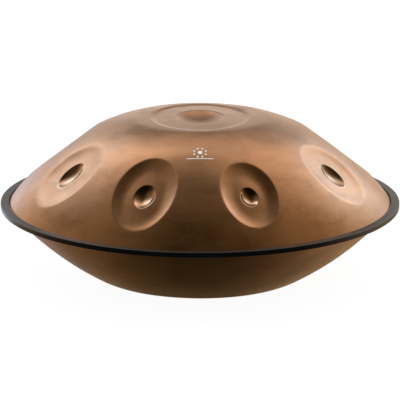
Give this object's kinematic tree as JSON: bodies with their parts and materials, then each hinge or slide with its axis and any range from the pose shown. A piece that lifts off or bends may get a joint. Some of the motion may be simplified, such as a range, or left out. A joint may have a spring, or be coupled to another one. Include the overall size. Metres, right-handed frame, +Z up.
{
  "type": "handpan",
  "caption": "Handpan of bonded steel shells with hammered tone fields, a dished centre note, an edge trim and a sound port underneath.",
  "frame": {"origin": "on the resting plane, on the vertical axis of the shells", "axes": "+Z up through the centre note; -Y towards the player, where the printed mark is; +X to the right as seen from the player"},
  "size_m": [0.536, 0.5359, 0.2227],
  "materials": {
    "bronze_steel": "satin heat-toned bronze",
    "adhesive": "cured structural adhesive",
    "trim_rubber": "satin black with a fine embossed grain",
    "clip_steel": "plain spring steel",
    "white_print": "matt white pad print"
  },
  "bodies": {
    "root": {"upper_shell": "bronze_steel", "lower_shell": "bronze_steel", "seam_adhesive": "adhesive", "edge_trim": "trim_rubber", "trim_grip_clips": "clip_steel", "printed_mark": "white_print"}
  },
  "joints": []
}
